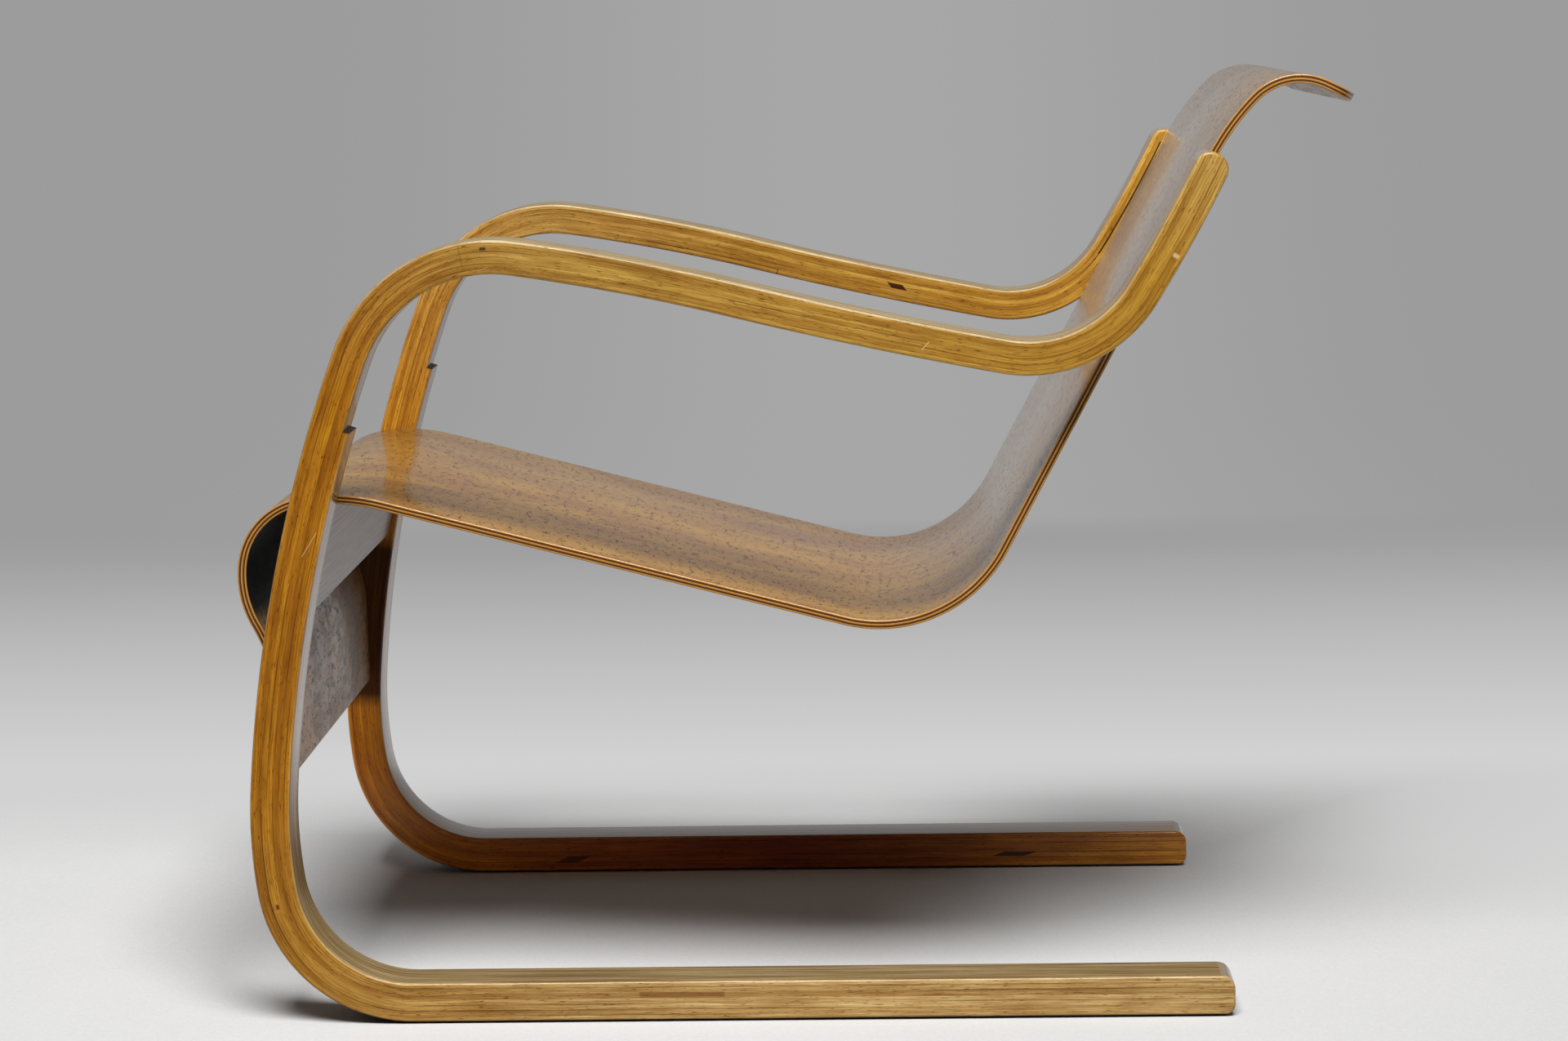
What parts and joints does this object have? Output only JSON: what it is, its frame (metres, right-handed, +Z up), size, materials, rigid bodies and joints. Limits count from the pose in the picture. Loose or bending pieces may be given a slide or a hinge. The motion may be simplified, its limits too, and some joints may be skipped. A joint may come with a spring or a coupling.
{
  "type": "cantilever lounge chair",
  "caption": "Cantilever lounge chair: a moulded plywood seat and back, scrolled at the front and rolled at the head, slung between open laminated birch frames on runners.",
  "frame": {"origin": "on the floor, at the centre of the chair's bounding box in plan", "axes": "+X to the sitter's left, -Y to the front where the sitter's knees are, +Z up"},
  "size_m": [0.605, 0.8702, 0.7209],
  "materials": {
    "laminated_birch": "clear lacquer over bent birch laminae, satin to gloss, honey with age",
    "face_veneer": "gloss clear lacquer over curly birch veneer",
    "core_birch": "lacquered plywood edge",
    "solid_birch": "thin clear lacquer on solid birch",
    "brass": "plain turned brass"
  },
  "bodies": {
    "root": {"left_frame_lamina_1": "laminated_birch", "left_frame_lamina_2": "laminated_birch", "left_frame_lamina_3": "laminated_birch", "left_frame_lamina_4": "laminated_birch", "left_frame_lamina_5": "laminated_birch", "left_frame_lamina_6": "laminated_birch", "right_frame_lamina_1": "laminated_birch", "right_frame_lamina_2": "laminated_birch", "right_frame_lamina_3": "laminated_birch", "right_frame_lamina_4": "laminated_birch", "right_frame_lamina_5": "laminated_birch", "right_frame_lamina_6": "laminated_birch", "left_leg_lamina": "laminated_birch", "right_leg_lamina": "laminated_birch", "seat_veneer": "face_veneer", "shell_core": "core_birch", "back_veneer": "face_veneer", "front_rail": "solid_birch", "back_rail": "solid_birch", "seat_cleat": "solid_birch", "seat_screws": "brass", "back_screws": "brass"}
  },
  "joints": []
}
